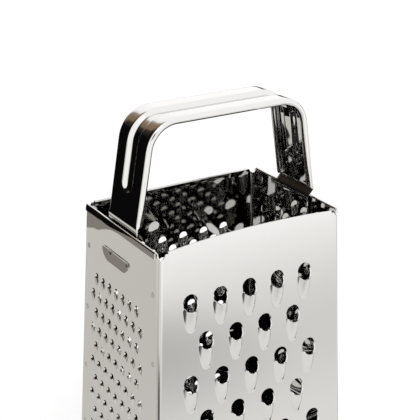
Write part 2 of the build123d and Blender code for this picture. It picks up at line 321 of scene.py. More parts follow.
def ring_mesh(name, outlines, height, inner_rings, outer_rings, crowding=1.7):
    """A tile of sheet in rings from its hole to its border, lifted by a height function."""
    hole, foot, tile = outlines
    shares = [1 - (1 - i / inner_rings) ** crowding for i in range(inner_rings)]
    rings = [[Vector(a).lerp(Vector(b), s) for a, b in zip(hole, foot)] for s in shares]
    shares = spaced(0, 1, outer_rings)
    rings += [[Vector(a).lerp(Vector(b), s) for a, b in zip(foot, tile)] for s in shares]
    count = len(hole)
    verts = [(p.x, p.y, height(p.x, p.y)) for ring in rings for p in ring]
    faces = []
    for r in range(len(rings) - 1):
        for i in range(count):
            j = (i + 1) % count
            faces.append((r * count + i, (r + 1) * count + i, (r + 1) * count + j, r * count + j))
    mesh = bpy.data.meshes.new(name)
    mesh.from_pydata(verts, [], faces)
    return mesh


# %% [markdown]
# The front holds coarse scoops, the back medium ones and the left side fine ones. The right
# side has four wide slots for slicing. Each kind is one tile, and the tile's border is flat,
# so that it can be set into the plate without a seam.

# %% The four kinds of tile
coarse = Scoop(half_width=4.0, lip=2.6, tail=12.4, radius=3.6, side=2.1, sag=2.1, soft=0.2)
medium = Scoop(half_width=2.6, lip=1.5, tail=5.4, radius=2.3, side=0.7, sag=1.1, soft=0.15)
fine = Scoop(half_width=1.5, lip=1.1, tail=4.4, radius=1.35, side=0.6, sag=0.8, soft=0.1)
outlines = {
    "coarse": coarse.outlines(24, 16, box=(-6.0, 6.0, -15.28, 3.95)),
    "medium": medium.outlines(8, 8, box=(-2.95, 2.95, -6.6, 2.75)),
    "fine": fine.outlines(8, 8, box=(-2.4, 2.4, -5.5, 1.9)),
}
tiles = {
    "coarse": ring_mesh("coarse_scoop", outlines["coarse"], coarse.height, 10, 2),
    "medium": ring_mesh("medium_scoop", outlines["medium"], medium.height, 4, 1),
    "fine": ring_mesh("fine_scoop", outlines["fine"], fine.height, 3, 1),
}
SLOT_HALF, SLOT_GAP, SLOT_LIP, SLOT_SAG, SLOT_TAIL = 25.0, 2.3, 2.3, 4.0, 11.5
SLOT_FOOT_SIDE, SLOT_FOOT_LOW, SLOT_FOOT_HIGH = 0.8, 0.6, 0.3
SLOT_TILE_HALF, SLOT_TILE_LOW, SLOT_TILE_HIGH = 27.0, -19.0, 2.5


def slicing_outlines(steps=40):
    """A wide slot: hole, foot and tile outlines of a curved slit and its low blade."""
    hole, foot, tile = [], [], []
    foot_half = SLOT_HALF + SLOT_FOOT_SIDE
    for q in both_sides(1, steps):
        hole.append((SLOT_HALF * q, -SHEET - SLOT_SAG * (1 - q * q)))
        foot.append((foot_half * q, -SHEET - SLOT_FOOT_LOW - (SLOT_TAIL + SLOT_SAG) * (1 - q * q)))
        tile.append((SLOT_TILE_HALF * q, SLOT_TILE_LOW))
    for q in both_sides(-1, steps):
        hole.append((SLOT_HALF * q, -SHEET - (SLOT_SAG - SLOT_GAP) * (1 - q * q)))
        foot.append((foot_half * q, SLOT_FOOT_HIGH - (SLOT_SAG - SLOT_GAP) * (1 - q * q)))
        tile.append((SLOT_TILE_HALF * q, SLOT_TILE_HIGH))
    return hole, foot, tile


def slicing_height(u, v):
    """The blade's low hood: highest at the slit's middle, flat at its ends and tail."""
    bow = 1 - (u / SLOT_HALF) ** 2
    if bow <= 0:
        return 0.0
    down = (-SHEET - SLOT_SAG * bow - v) / (SLOT_TAIL * bow**0.5 + 0.01)
    if down < -0.02:
        return 0.0
    return SLOT_LIP * bow * soft_step(1 - down)


outlines["slicing"] = slicing_outlines()
tiles["slicing"] = ring_mesh("slicing_slot", outlines["slicing"], slicing_height, 8, 3)
print({name: len(mesh.polygons) for name, mesh in tiles.items()}, "faces in each tile")

# %% [markdown]
# ## Rows of scoops with Geometry Nodes
# Every face repeats one tile in staggered rows: a full row, a row with one less, and so on.
# A node tree does this well, because a row's count and pitch stay as inputs that can be
# changed later. Each point's row and place come from its index.

# %% A node tree that sets scoops in staggered rows
def new_tree(name, inputs):
    """An empty geometry tree with named inputs, and the node that holds them."""
    tree = bpy.data.node_groups.new(name, "GeometryNodeTree")
    for label, kind in inputs:
        tree.interface.new_socket(label, in_out="INPUT", socket_type=kind)
    tree.interface.new_socket("Geometry", in_out="OUTPUT", socket_type="NodeSocketGeometry")
    return tree, tree.nodes.new("NodeGroupInput").outputs


def set_in_place(tree, points, given):
    """The end of every tree: the tile on each point, made real, with its finish."""
    tile = add_node(tree, "GeometryNodeObjectInfo", {"Object": given["Tile"]})
    copies = add_node(tree, "GeometryNodeInstanceOnPoints", {
        "Points": points, "Instance": tile.outputs["Geometry"],
    })
    real = add_node(tree, "GeometryNodeRealizeInstances", {"Geometry": copies.outputs[0]})
    finish = add_node(tree, "GeometryNodeSetMaterial", {
        "Geometry": real.outputs[0], "Material": given["Finish"],
    })
    add_node(tree, "NodeGroupOutput", {"Geometry": finish.outputs[0]})


def scoop_rows_tree():
    tree, given = new_tree("scoop_rows", [
        ("Tile", "NodeSocketObject"), ("Finish", "NodeSocketMaterial"),
        ("Rows", "NodeSocketInt"), ("Most in a row", "NodeSocketInt"),
        ("Short rows first", "NodeSocketInt"), ("First row", "NodeSocketFloat"),
        ("Row pitch", "NodeSocketFloat"), ("Pitch", "NodeSocketFloat"), ("Fan", "NodeSocketFloat"),
        ("Shift", "NodeSocketFloat"), ("Lean", "NodeSocketFloat"),
    ])
    most = given["Most in a row"]
    index = add_node(tree, "GeometryNodeInputIndex").outputs[0]
    row = math_node(tree, "FLOOR", math_node(tree, "DIVIDE", index, most), 0.0)
    place = math_node(tree, "SUBTRACT", index, math_node(tree, "MULTIPLY", row, most))
    odd = math_node(tree, "MODULO", math_node(tree, "ADD", row, given["Short rows first"]), 2.0)
    last = math_node(tree, "SUBTRACT", math_node(tree, "SUBTRACT", most, 1.0), odd)
    drop = math_node(tree, "MULTIPLY", row, given["Row pitch"])
    spread = math_node(tree, "ADD", 1.0, math_node(tree, "MULTIPLY", given["Fan"], drop))
    pitch = math_node(tree, "MULTIPLY", given["Pitch"], spread)
    step = math_node(tree, "SUBTRACT", place, math_node(tree, "DIVIDE", last, 2.0))
    middle = math_node(tree, "ADD", given["Shift"], math_node(tree, "MULTIPLY", row, given["Lean"]))
    u = math_node(tree, "ADD", middle, math_node(tree, "MULTIPLY", step, pitch))
    down = math_node(tree, "ADD", drop, given["First row"])
    spot = add_node(tree, "ShaderNodeCombineXYZ", {"X": u, "Y": math_node(tree, "MULTIPLY", down, -1.0)})
    count = math_node(tree, "MULTIPLY", given["Rows"], most)
    points = add_node(tree, "GeometryNodePoints", {"Count": count, "Position": spot.outputs[0]})
    spare = math_node(tree, "GREATER_THAN", place, last)
    kept = add_node(tree, "GeometryNodeDeleteGeometry", {"Geometry": points.outputs[0], "Selection": spare})
    set_in_place(tree, kept.outputs[0], given)
    return tree


scoop_rows = scoop_rows_tree()


def made_by(tree, tile_mesh, finish, values):
    """Runs a tree once with its inputs set, and gives the plain mesh that it makes."""
    tile = bpy.data.objects.new(tile_mesh.name + "_tile", tile_mesh)
    holder = new_object("holder", bpy.data.meshes.new("holder"))
    modifier = holder.modifiers.new(tree.name, "NODES")
    modifier.node_group = tree
    sockets = {item.name: item.identifier for item in tree.interface.items_tree if item.in_out == "INPUT"}
    for label, value in {"Tile": tile, "Finish": finish, **values}.items():
        modifier[sockets[label]] = value
    mesh = made_mesh(holder)
    holder.modifiers.remove(modifier)
    bpy.data.objects.remove(holder)
    bpy.data.objects.remove(tile)
    return mesh


# %% Rows for the front, back and left plates, and slots for the right one
patterns = {
    "front": ("coarse", {
        "Rows": 7, "Most in a row": 5, "Short rows first": 0, "First row": 25.0, "Row pitch": 19.35,
        "Pitch": 15.05, "Fan": 0.0017, "Shift": -2.6, "Lean": 0.65,
    }),
    "back": ("medium", {
        "Rows": 22, "Most in a row": 6, "Short rows first": 0, "First row": 29.4, "Row pitch": 5.7,
        "Pitch": 11.9, "Fan": 0.0, "Shift": 0.0, "Lean": 0.0,
    }),
    "left": ("fine", {
        "Rows": 15, "Most in a row": 8, "Short rows first": 1, "First row": 32.1, "Row pitch": 8.9,
        "Pitch": 6.27, "Fan": 0.0012, "Shift": -2.5, "Lean": 0.08,
    }),
}
SLOT_COUNT = 4
SLOT_FIRST = 44.2
SLOT_PITCH = 28.5
slot_values = {"Count": SLOT_COUNT, "Start": (0.0, -SLOT_FIRST, 0.0), "Step": (0.0, -SLOT_PITCH, 0.0)}


def places_of(values):
    """The same places as the tree gives, for the windows that the tiles are set into."""
    for row in range(values["Rows"]):
        drop = row * values["Row pitch"]
        last = values["Most in a row"] - 1 - (row + values["Short rows first"]) % 2
        pitch = values["Pitch"] * (1 + values["Fan"] * drop)
        middle = values["Shift"] + row * values["Lean"]
        for place in range(last + 1):
            yield middle + (place - last / 2) * pitch, -values["First row"] - drop


def line_tree():
    """A tree that sets tiles along a straight line, for welds and for the slicing slots."""
    tree, given = new_tree("line_of_tiles", [
        ("Tile", "NodeSocketObject"), ("Finish", "NodeSocketMaterial"), ("Count", "NodeSocketInt"),
        ("Start", "NodeSocketVector"), ("Step", "NodeSocketVector"),
    ])
    line = add_node(tree, "GeometryNodeMeshLine", {
        "Count": given["Count"], "Start Location": given["Start"], "Offset": given["Step"],
    }, mode="OFFSET")
    set_in_place(tree, line.outputs[0], given)
    return tree


line_of_tiles = line_tree()
scoop_meshes = {
    side: made_by(scoop_rows, tiles[kind], plate_steel, values)
    for side, (kind, values) in patterns.items()
}
scoop_meshes["right"] = made_by(line_of_tiles, tiles["slicing"], plate_steel, slot_values)
print({side: len(mesh.polygons) for side, mesh in scoop_meshes.items()}, "faces of scoops")

# %% [markdown]
# ## The plates
# Each plate is flat sheet with windows for the tiles. A constrained triangulation fills the
# flat part between the windows, and since it is flat, its long triangles don't show. Bends,
# flanges and hems are strips of faces that grow from the flat part's edges. The whole is one
# surface until Solidify gives it the sheet's thickness.

# %% Flat sheet with windows, and strips along its edges
COLUMNS, LEVELS = 24, 12


def fill_sheet(bm, outline, windows):
    """Fills an outline with flat faces that look along +w, leaving the windows open."""
    points, edges, boxes = [], [], []
    for loop in [outline, *windows]:
        start = len(points)
        points += [Vector((p[0], p[1])) for p in loop]
        edges += [(start + i, start + (i + 1) % len(loop)) for i in range(len(loop))]
    for loop in windows:
        us, vs = [p[0] for p in loop], [p[1] for p in loop]
        boxes.append((min(us), max(us), min(vs), max(vs)))
    verts, _, faces, _, _, _ = delaunay_2d_cdt(points, edges, [], 1, 1e-4)
    made = [bm.verts.new((p.x, p.y, 0.0)) for p in verts]
    for face in faces:
        a, b, c = [verts[i] for i in face]
        u, v = (a.x + b.x + c.x) / 3, (a.y + b.y + c.y) / 3
        if not any(low < u < high and under < v < over for low, high, under, over in boxes):
            corners = face if (b - a).cross(c - a) > 0 else reversed(face)
            bm.faces.new([made[i] for i in corners])


def add_grid(bm, rows, facing):
    """A grid of faces through rows of points; its first face looks towards facing."""
    made = [[bm.verts.new(p) for p in row] for row in rows]
    a, b, c = [Vector(p) for p in (rows[0][0], rows[0][1], rows[1][1])]
    flip = (b - a).cross(c - b).dot(Vector(facing)) < 0
    for low, high in zip(made, made[1:]):
        for i in range(len(low) - 1):
            corners = (low[i], low[i + 1], high[i + 1], high[i])
            bm.faces.new(reversed(corners) if flip else corners)


def crown_at(u, half, crown):
    """Height of a crowned rim over its ends, a flat arc through three points."""
    if not crown:
        return 0.0
    radius = (half * half + crown * crown) / (2 * crown)
    return math.sqrt(radius * radius - u * u) - (radius - crown)


def hem_rows(half, crown, edge, sign, outward, lean=None, spring=0.0, bends=8):
    """A hem's rows of points: round the fold, then down the folded leaf.

    sign is 1 at the rim and -1 at the base. The first row lies on the sheet's face that
    becomes the outside of the fold. lean(u) moves the hem with its plate, and spring is how
    far the leaf's cut edge stands off.
    """
    middle, turn = (HEM_GAP / 2, 1) if outward else (-SHEET - HEM_GAP / 2, -1)
    rows = []
    for k in range(bends + 2):
        angle = math.pi * min(k, bends) / bends
        row = []
        for u in both_sides(half, COLUMNS):
            top = edge + sign * crown_at(u, half, crown)
            v = top + sign * FOLD * math.sin(angle)
            w = middle - turn * FOLD * math.cos(angle) + (lean(u) if lean else 0.0)
            if k > bends:
                v = edge - sign * (HEM_HEIGHT - FOLD)
                w += turn * spring
            row.append((u, v, w))
        rows.append(row)
    return rows


# %% Turning an assembled surface into a finished piece
SHARP = math.radians(42)


def finish_sheet(name, bm, matrix):
    """The base hem is pressed flat where it stands, so no point lies under the floor.
    """
    bmesh.ops.remove_doubles(bm, verts=bm.verts, dist=2e-3)
    bmesh.ops.transform(bm, matrix=Matrix.Scale(MM, 4) @ matrix, verts=bm.verts)
    raw = new_object(name + "_dressed", smooth_mesh(name, bm, plate_steel))
    walls = raw.modifiers.new("thickness", "SOLIDIFY")
    walls.thickness = SHEET * MM
    walls.offset = -1.0
    thick = made_mesh(raw)
    raw.modifiers.clear()
    for vertex in thick.vertices:
        vertex.co.z = max(vertex.co.z, 0.0)
    raw.data = thick
    thick.set_sharp_from_angle(angle=SHARP)
    even = raw.modifiers.new("even_normals", "WEIGHTED_NORMAL")
    even.keep_sharp = True
    even.weight = 50
    done = made_mesh(raw)
    raw.modifiers.clear()
    raw.data = done
    done.name = name
    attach(raw, "root")
    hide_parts(name)
    print(name, len(done.polygons), "faces")


# %% [markdown]
# The front and back plates turn round both corners. Their bends are 1.5 mm in radius, and
# small round notches at the rim's corners let the fold of one hem pass the next.

# %% Front and back plates
NOTCH_ANGLES = (0.3, 0.42, 0.54, 0.66, 0.78)


def windows_for(kind, places):
    """The tiles' borders at their places, as windows of the flat sheet."""
    return [[(u + p[0], v + p[1]) for p in outlines[kind][2]] for u, v in places]


def notch_top(wall, dx, dy):
    """Height of the plate's edge beside a rim corner, where the round notch cuts it."""
    plain = HEIGHT - FOLD * wall.rise
    return min(plain, HEIGHT - math.sqrt(max(NOTCH**2 - dx * dx - dy * dy, 0.0)))


def channel_plate(name, wall, side, crown, bends=8, laps=3):
    """Front or back plate: flat sheet with its scoops, two bends and flanges, two hems."""
    bm = bmesh.new()
    bm.from_mesh(scoop_meshes[side])
    rim_edge, base_edge = -FOLD, -wall.slant - BASE_FLAT + FOLD
    levels = spaced(rim_edge, base_edge, LEVELS)
    rim_half = TOP[0] / 2 - FRONT_HEM_END
    base_half = BASE[0] / 2 - FRONT_HEM_END
    below = (notch_top(wall, SHEET + BEND, 0.0) - HEIGHT) / wall.rise
    bend_line = [half_at(0, wall.z(v)) - SHEET - BEND for v in (below, *levels[1:])]
    corner = half_at(0, HEIGHT)
    notch = [(corner - NOTCH * math.cos(a), -NOTCH * math.sin(a)) for a in NOTCH_ANGLES]
    outline = [(-u, v) for u, v in notch] + [(-bend_line[0], below)]
    outline += [(-b, v) for b, v in zip(bend_line[1:], levels[1:])]
    outline += [(u, base_edge) for u in both_sides(base_half, COLUMNS)]
    outline += [(b, v) for b, v in zip(bend_line[:0:-1], levels[:0:-1])]
    outline += [(bend_line[0], below)] + notch[::-1]
    arc = both_sides(-rim_half, COLUMNS)
    outline += [(u, rim_edge + crown_at(u, rim_half, crown)) for u in arc]
    kind, values = patterns[side]
    fill_sheet(bm, outline, windows_for(kind, places_of(values)))
    for hem in (
        hem_rows(rim_half, crown, rim_edge, 1, False),
        hem_rows(base_half, 0.0, base_edge, -1, False),
    ):
        add_grid(bm, hem, (0, 0, 1))
    to_wall = wall.matrix.inverted()
    for hand in (-1, 1):
        columns = []
        for k in range(bends + 1 + laps):
            column = []
            for v in levels:
                z = wall.z(v)
                turn = math.pi / 2 * min(k, bends) / bends
                lap = max(k - bends, 0) / laps * (FLANGE - BEND)
                dx = SHEET + BEND - BEND * math.sin(turn)
                dy = BEND - BEND * math.cos(turn) + lap
                if v == levels[0]:
                    z = notch_top(wall, dx, dy)
                x, y = half_at(0, z) - dx, half_at(1, z) - dy
                across = hand * wall.matrix.col[0].x
                column.append(to_wall @ Vector((across * x, wall.out[1] * y, z)))
            columns.append(column)
        add_grid(bm, columns, (0, 0, 1))
    finish_sheet(name, bm, wall.matrix)


channel_plate("front_coarse_plate", front, "front", CROWN)
channel_plate("back_medium_plate", back, "back", 0.0)

# %% [markdown]
# ## The side plates, with their dents
# The side plates lie over the flanges, a hair clear of the bends. Welding squeezes each of
# them against the handle's tab, and leaves a long shallow dent with two round dimples. The
# sheet also leans in a little below its rim. In a mirror such small slopes turn dark, so
# they matter more than their depth suggests, and both get a finely divided patch of sheet.

# %% Left and right plates
WELD_HALF_PITCH = 7.7
WELD_DROP = 15.6
WELD_SET_BACK = 1.5
DENT_BOX = (-17.0, 17.0, -22.2, -10.4)
DENT_DEEPEST = -15.0
DENT_MIDDLE = -2.2
DENT_STRAIGHT = 6.6
DENT_ROUND = 6.0
DENT_REACH = 5.7
DENT_SLOPE = 0.085
DENT_CLOSE = 1.5
DIMPLE = 0.2
LEAN_END = -10.2
LEAN_SLOPE = 0.038
LEAN_LENGTH = 4.2
LEAN_WAVES = ((-22, 5.5), (26, 1.3))
LEAN_WAVE_WIDTH = 6


def dent(x, v):
    """The dent's height, never over 0, x mm in front of the two welds' middle, at height v.

    From its lower edge it sinks along a slope to its deepest line, then rises steeply.
    """
    up = v - DENT_DEEPEST
    past = max(abs(x - DENT_MIDDLE) - DENT_STRAIGHT, 0.0) / DENT_ROUND
    reach = DENT_REACH * math.sqrt(max(1 - past * past, 0.0))
    depth = DENT_SLOPE * min(max(up + reach, 0.0), reach) * soft_step((DENT_CLOSE - up) / DENT_CLOSE)
    for weld in (-WELD_HALF_PITCH, WELD_HALF_PITCH):
        depth += DIMPLE * math.exp(-((x - weld) ** 2 + (v + WELD_DROP) ** 2) / 2)
    return -depth


def rim_lean(x, v):
    """How far the sheet leans in near its rim, x mm in front of the plate's middle."""
    length = LEAN_LENGTH
    for middle, longer in LEAN_WAVES:
        length += longer * math.exp(-(((x - middle) / LEAN_WAVE_WIDTH) ** 2))
    return -LEAN_SLOPE * max(v + length, 0.0) ** 2 / length


def dent_patch(bm, middle, to_front, steps=(68, 40)):
    """A finely divided patch of sheet with the dent, and the window that it fills."""
    low_x, high_x, low_v, high_v = DENT_BOX
    xs, vs = spaced(low_x, high_x, steps[0]), spaced(low_v, high_v, steps[1])
    add_grid(bm, [[(middle + to_front * x, v, dent(x, v)) for x in xs] for v in vs], (0, 0, 1))
    us = sorted(middle + to_front * x for x in xs)
    loop = [(u, vs[0]) for u in us[:-1]] + [(us[-1], v) for v in vs[:-1]]
    loop += [(u, vs[-1]) for u in reversed(us[1:])] + [(us[0], v) for v in reversed(vs[1:])]
    return loop


def side_plate(name, wall, side, kind, places, steps=(40, 20)):
    """Left or right plate: flat sheet with scoops and dent, and hems folded outwards."""
    bm = bmesh.new()
    bm.from_mesh(scoop_meshes[side])
    to_front = -wall.matrix.col[0].y
    rim_edge, base_edge = -FOLD, -wall.slant - BASE_FLAT + FOLD

    def edge_at(v):
        return half_at(1, wall.z(v)) - BEND - SEAM_GAP

    rows = spaced(rim_edge, LEAN_END, steps[1])
    lean = [[(u, v) for u in both_sides(edge_at(v), steps[0])] for v in rows]
    add_grid(bm, [[(u, v, rim_lean(to_front * u, v)) for u, v in row] for row in lean], (0, 0, 1))
    levels = spaced(LEAN_END, base_edge, LEVELS)
    outline = [(-edge_at(v), v) for v in levels] + [(edge_at(v), v) for v in reversed(levels)]
    outline += lean[-1][-2:0:-1]
    middle = -WELD_SET_BACK * to_front
    fill_sheet(bm, outline, windows_for(kind, places) + [dent_patch(bm, middle, to_front)])
    rim_half, base_half = TOP[1] / 2 - SIDE_HEM_END, BASE[1] / 2 - SIDE_HEM_END

    def lean_at_rim(u):
        return rim_lean(to_front * u, rim_edge)

    rim = hem_rows(rim_half, 0.0, rim_edge, 1, True, lean_at_rim, LEAF_SPRING)
    add_grid(bm, rim, (0, 0, -1))
    add_grid(bm, hem_rows(base_half, 0.0, base_edge, -1, True), (0, 0, -1))
    finish_sheet(name, bm, wall.matrix)


side_plate("left_fine_plate", left, "left", "fine", places_of(patterns["left"][1]))
slot_places = [(0.0, -SLOT_FIRST - SLOT_PITCH * i) for i in range(SLOT_COUNT)]
side_plate("right_slicing_plate", right, "right", "slicing", slot_places)

# %% [markdown]
# ## The handle
# The handle is one strip of slightly thicker steel. A press rolls both edges into beads, so
# that they are stiff and kind to the hand, and sinks a channel along the middle. Each leg
# steps in over the rim and ends in a flat tab inside the body. It is made as a section that
# is carried along a path: the section's bead and channel change from place to place.

# %% Section and path of the strip
STRIP = 0.7
STRIP_HALF = 13.0
BEAD = 1.6
PLAIN_EDGE = 0.36
ROLL_TURN = 155
CHANNEL_OUTER = 5.0
CHANNEL_WALL = 2.8
CHANNEL_SPAN = 5.6
CHANNEL_DEPTH = 1.8
CHANNEL_END = HEIGHT + 19.0
HANDLE_TOP = HEIGHT + 49.0
TOP_REACH = 39.8
TOP_BEND = 15.0
HANDLE_SHIFT = 1.5
FOOT_TOP = HEIGHT + 2.6
FOOT_REACH = 47.4
FOOT_LOW = FOOT_TOP - 3.6
FOOT_BEND = 1.5
TAB_LOW = FOOT_LOW - 22.0
TAB_GAP = 0.7
BEAD_START, BEAD_FULL = FOOT_TOP - 0.3, FOOT_TOP + 1.9


def section(bead, past_end):
    """The strip's section as a closed loop of (x across, y out of the strip).

    bead runs from 0, a plain edge, to 1, a full roll. past_end is the distance past the
    end of the channel, which closes in a half round.
    """
    roll = PLAIN_EDGE + (BEAD - STRIP / 2 - PLAIN_EDGE) * bead
    turn = math.radians(90 + ROLL_TURN * bead)
    centre = STRIP_HALF - STRIP / 2 - roll
    line = []
    for x in spaced(0.0, CHANNEL_SPAN, 20):
        sunk = CHANNEL_DEPTH * soft_step((CHANNEL_OUTER - math.hypot(x, past_end)) / CHANNEL_WALL)
        line.append((x, -STRIP / 2 - sunk))
    line += [(x, -STRIP / 2) for x in spaced(CHANNEL_SPAN, centre, 3)[1:-1]]
    for i in range(17):
        angle = math.pi / 2 - turn * i / 16
        line.append((centre + roll * math.cos(angle), -STRIP / 2 - roll + roll * math.sin(angle)))
    line = [(-x, y) for x, y in reversed(line[1:])] + line
    over, under = [], []
    for i, (x, y) in enumerate(line):
        ax, ay = line[max(i - 1, 0)]
        bx, by = line[min(i + 1, len(line) - 1)]
        size = math.hypot(bx - ax, by - ay) or 1.0
        nx, ny = (ay - by) / size * STRIP / 2, (bx - ax) / size * STRIP / 2
        over.append((x + nx, y + ny))
        under.append((x - nx, y - ny))
    return over + under[::-1]


def rounded_path(corners, radii, step):
    """Points about a step apart along a path in the X-Z plane whose corners are rounded."""
    points = [Vector(corners[0])]
    for before, corner, after, radius in zip(corners, corners[1:], corners[2:], radii):
        before, corner, after = Vector(before), Vector(corner), Vector(after)
        into, out = (corner - before).normalized(), (after - corner).normalized()
        turn = into.angle(out)
        tangent = radius * math.tan(turn / 2)
        start = corner - into * tangent
        side = Vector((-into.y, into.x))
        side = side if side.dot(out) > 0 else -side
        centre = start + side * radius
        count = max(4, round(turn * radius / step))
        for i in range(count + 1):
            a = turn * i / count
            points.append(centre - side * radius * math.cos(a) + into * radius * math.sin(a))
    points.append(Vector(corners[-1]))
    filled = [points[0]]
    for a, b in zip(points, points[1:]):
        count = max(1, round((b - a).length / step))
        filled += [a.lerp(b, i / count) for i in range(1, count + 1)]
    return filled


def tab_reach(z):
    """How far out the tab's outer face lies at a height, just inside the side plate."""
    return half_at(0, z) - SHEET - TAB_GAP


def leg_corners(hand):
    """The path's corners on one side, from the tab's low end to the top bend."""
    tab = [(hand * tab_reach(z), z) for z in (TAB_LOW, FOOT_LOW)]
    leg = [(FOOT_REACH, FOOT_TOP), (TOP_REACH, HANDLE_TOP)]
    return tab + [(hand * x + HANDLE_SHIFT, z) for x, z in leg]


corners = leg_corners(-1) + leg_corners(1)[::-1]
radii = [FOOT_BEND, FOOT_BEND, TOP_BEND]
path = rounded_path(corners, radii + radii[::-1], 1.0)
print("handle path of", len(path), "stations, section of", len(section(1.0, 0.0)), "points")

# %% The handle as one closed mesh
loops = []
for i, point in enumerate(path):
    along = (path[min(i + 1, len(path) - 1)] - path[max(i - 1, 0)]).normalized()
    outward = Vector((-along.y, along.x))
    bead = soft_step((point.y - BEAD_START) / (BEAD_FULL - BEAD_START))
    profile = section(bead, max(CHANNEL_END - point.y, 0.0))
    loops.append([Vector((point.x + y * outward.x, x, point.y + y * outward.y)) for x, y in profile])
bm = bmesh.new()
made = [[bm.verts.new(p) for p in loop] for loop in loops]
for low, high in zip(made, made[1:]):
    for i in range(len(low)):
        j = (i + 1) % len(low)
        bm.faces.new((low[i], low[j], high[j], high[i]))
for loop in (made[0], made[-1]):
    half = len(loop) // 2
    for i in range(half - 1):
        bm.faces.new((loop[i], loop[i + 1], loop[-i - 2], loop[-i - 1]))
bmesh.ops.recalc_face_normals(bm, faces=bm.faces)
bmesh.ops.scale(bm, vec=(MM, MM, MM), verts=bm.verts)
mesh = smooth_mesh("handle_strip", bm, strip_steel)
mesh.set_sharp_from_angle(angle=SHARP)
handle = new_object("handle_strip_dressed", mesh)
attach(handle, "root")
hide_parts("handle_strip")
print("handle:", len(mesh.polygons), "faces")

# %% [markdown]
# ## Spot welds
# A spot weld shows as a faint ring where the copper tip pressed. A node tree sets one small
# disc on every weld: two in each dent, and a line of five down each seam.

# %% Discs for the welds
HANDLE_WELD = 1.75
SEAM_WELD = 1.4
SEAM_COUNT = 5
SEAM_FIRST = 20.0
SEAM_PITCH = 32.0
SEAM_FROM_CORNER = 5.0
PROUD = 0.012


def weld_disc(name, radius, ring, floor, count=24):
    """A disc of rings with a raised circle, following the ground that floor(u, v) gives."""
    shares = [(0.3, 0.0), (0.62, 0.01), (0.76, ring), (0.88, ring * 0.8), (1.0, -0.12)]
    verts, faces = [(0.0, 0.0, floor(0, 0) + PROUD)], []
    for share, lift in shares:
        for i in range(count):
            turn = 2 * math.pi * i / count
            u, v = radius * share * math.cos(turn), radius * share * math.sin(turn)
            verts.append((u, v, floor(u, v) + PROUD + lift))
    for i in range(count):
        j = (i + 1) % count
        faces.append((0, 1 + i, 1 + j))
        for r in range(len(shares) - 1):
            a, b = 1 + r * count, 1 + (r + 1) * count
            faces.append((a + i, b + i, b + j, a + j))
    mesh = bpy.data.meshes.new(name)
    mesh.from_pydata(verts, [], faces)
    return mesh


seam_disc = weld_disc("seam_weld", SEAM_WELD, 0.03, lambda u, v: 0.0)


def weld_piece(node, lines):
    """One piece for a node's welds; each line is a wall, a disc and the tree's values."""
    bm = bmesh.new()
    for wall, disc, values in lines:
        mesh = made_by(line_of_tiles, disc, nugget_steel, values)
        mesh.transform(Matrix.Scale(MM, 4) @ wall.matrix)
        bm.from_mesh(mesh)
    piece = new_object(node + "_dressed", smooth_mesh(node, bm, nugget_steel))
    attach(piece, "root")
    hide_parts(node)


handle_lines = []
for wall in (left, right):
    to_front = -wall.matrix.col[0].y
    for weld in (-WELD_HALF_PITCH, WELD_HALF_PITCH):
        disc = weld_disc(
            "handle_weld", HANDLE_WELD, 0.05,
            lambda u, v, weld=weld, to_front=to_front: dent(weld + to_front * u, v - WELD_DROP),
        )
        start = (to_front * (weld - WELD_SET_BACK), -WELD_DROP, 0.0)
        handle_lines.append((wall, disc, {"Count": 1, "Start": start, "Step": (0.0, 0.0, 0.0)}))
weld_piece("handle_spot_welds", handle_lines)
for node, wall, hand in (
    ("front_left_seam_welds", left, 1), ("back_left_seam_welds", left, -1),
    ("front_right_seam_welds", right, -1), ("back_right_seam_welds", right, 1),
):
    first = half_at(1, wall.z(-SEAM_FIRST)) - SEAM_FROM_CORNER
    step = half_at(1, wall.z(-SEAM_FIRST - SEAM_PITCH)) - SEAM_FROM_CORNER - first
    weld_piece(node, [(wall, seam_disc, {
        "Count": SEAM_COUNT,
        "Start": (hand * first, -SEAM_FIRST, 0.0),
        "Step": (hand * step, -SEAM_PITCH, 0.0),
    })])

# %% [markdown]
# ## Floor, light and camera
# A mirror shows its surroundings, so the room is part of the finish. The grater stands on a
# white table in an even white room. Flags stand where the photograph's reflections are dark.
# Only mirror rays see them, so they shape the steel and leave the table and its shadow alone.
# Steel gives back about 62 % of the light, so the room is 1.4 times white for mirror rays.
# Then steel shows a white room as near white, and grows darker with each bounce inside.
# A black sheet lies under the open base as painted shade, so that the inside is dark.

# %% Planes of the stage, and light paths
MIRROR_LIGHT = 1.4


def stage_plane(name, centre, half_u, half_v, material):
    """A rectangle of stage, spanned by two half axes, in metres."""
    centre, half_u, half_v = Vector(centre), Vector(half_u), Vector(half_v)
    low, high = centre - half_v, centre + half_v
    verts = [low - half_u, low + half_u, high + half_u, high - half_u]
    mesh = bpy.data.meshes.new(name)
    mesh.from_pydata(verts, [], [(0, 1, 2, 3)])
    mesh.materials.append(material)
    plane = new_object(name, mesh)
    plane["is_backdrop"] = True
    return plane


def share_of(tree, value, start, end, **settings):
    """How far a value has come from start, as 0, to end, as 1."""
    way = {"Value": value, "From Min": start, "From Max": end}
    return add_node(tree, "ShaderNodeMapRange", way, **settings).outputs[0]


